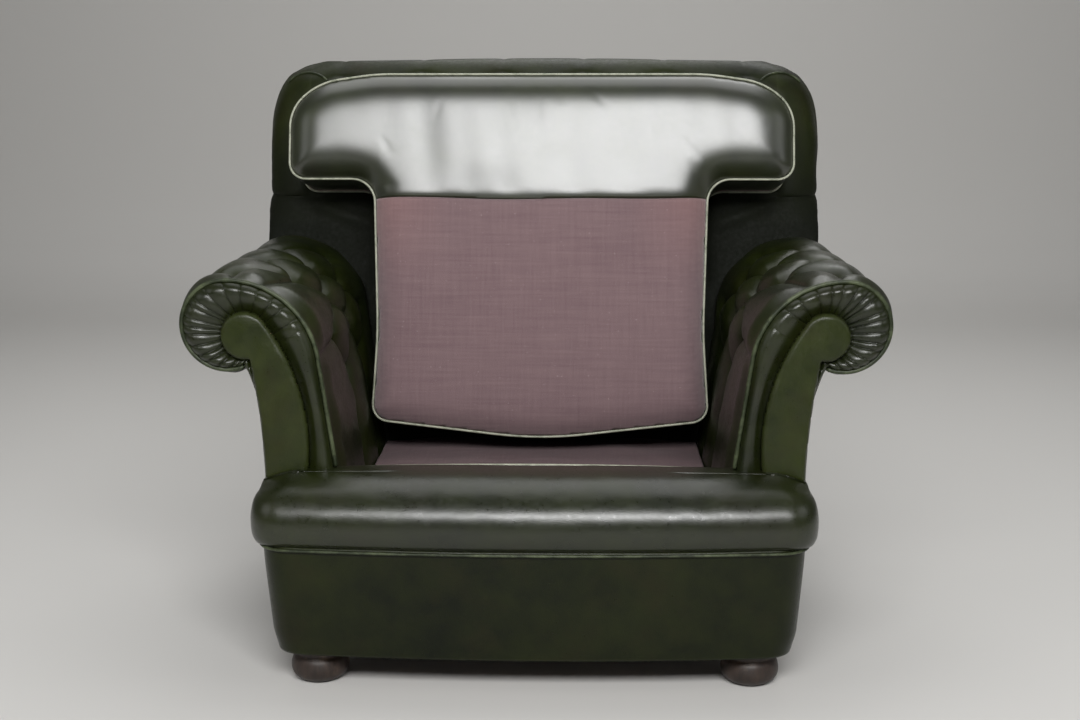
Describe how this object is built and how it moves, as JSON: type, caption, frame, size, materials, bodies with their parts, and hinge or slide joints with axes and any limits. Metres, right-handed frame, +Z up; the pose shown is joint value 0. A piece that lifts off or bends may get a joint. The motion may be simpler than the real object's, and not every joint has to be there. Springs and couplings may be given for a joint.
{
  "type": "armchair",
  "caption": "Deep-buttoned club armchair with rolled pleated arms, low wings, a bare webbed seat deck and a loose T-shaped back cushion, on bun feet.",
  "frame": {"origin": "centre of the chair's outline on the floor", "axes": "+X to the viewer's right facing the chair, -Y towards the viewer (the front), +Z up"},
  "size_m": [1.1038, 0.9293, 0.9747],
  "materials": {
    "green_leather": "antiqued dark green, soft sheen",
    "pale_piping": "worn pale edge",
    "mauve_cloth": "matt woven",
    "filling": "matt wadding",
    "black_cloth": "matt woven",
    "dark_wood": "worn dark stain",
    "frame_timber": "sawn, unfinished",
    "steel": "plain"
  },
  "bodies": {
    "chair": {"arm_tack_rails": "frame_timber", "back_buttons": "green_leather", "back_lower_rail": "frame_timber", "back_top_rail": "frame_timber", "back_webbing": "black_cloth", "corner_blocks": "frame_timber", "deck_cloth": "mauve_cloth", "deck_pad": "filling", "dust_cover": "black_cloth", "foot_bolts": "steel", "front_apron": "green_leather", "front_ledge": "frame_timber", "front_left_foot": "dark_wood", "front_lip": "green_leather", "front_rail": "frame_timber", "front_right_foot": "dark_wood", "inside_back": "green_leather", "left_arm_board": "frame_timber", "left_arm_buttons": "green_leather", "left_arm_facing": "green_leather", "left_arm_pad": "green_leather", "left_arm_piping": "pale_piping", "left_arm_pleats": "green_leather", "left_arm_post": "frame_timber", "left_back_side": "frame_timber", "left_lower_wing": "green_leather", "left_outside_arm": "green_leather", "left_side_rail": "frame_timber", "left_wing": "green_leather", "lip_board": "frame_timber", "lip_piping": "pale_piping", "outside_back": "green_leather", "outside_back_piping": "pale_piping", "rear_left_foot": "dark_wood", "rear_rail": "frame_timber", "rear_right_foot": "dark_wood", "right_arm_board": "frame_timber", "right_arm_buttons": "green_leather", "right_arm_facing": "green_leather", "right_arm_pad": "green_leather", "right_arm_piping": "pale_piping", "right_arm_pleats": "green_leather", "right_arm_post": "frame_timber", "right_back_side": "frame_timber", "right_lower_wing": "green_leather", "right_outside_arm": "green_leather", "right_side_rail": "frame_timber", "right_wing": "green_leather", "seat_back_rail": "frame_timber", "seat_springs": "steel", "spring_clips": "steel", "wing_piping": "pale_piping"},
    "back_cushion": {"cushion_boxing": "green_leather", "cushion_fabric_panel": "mauve_cloth", "cushion_filling": "filling", "cushion_leather_panel": "green_leather", "cushion_piping": "pale_piping", "cushion_rear_panel": "mauve_cloth"}
  },
  "joints": [
    {"name": "cushion_lift", "type": "slide", "parent": "chair", "child": "back_cushion", "axis": [0, 0, 1], "range_m": [0, 0.65]}
  ]
}
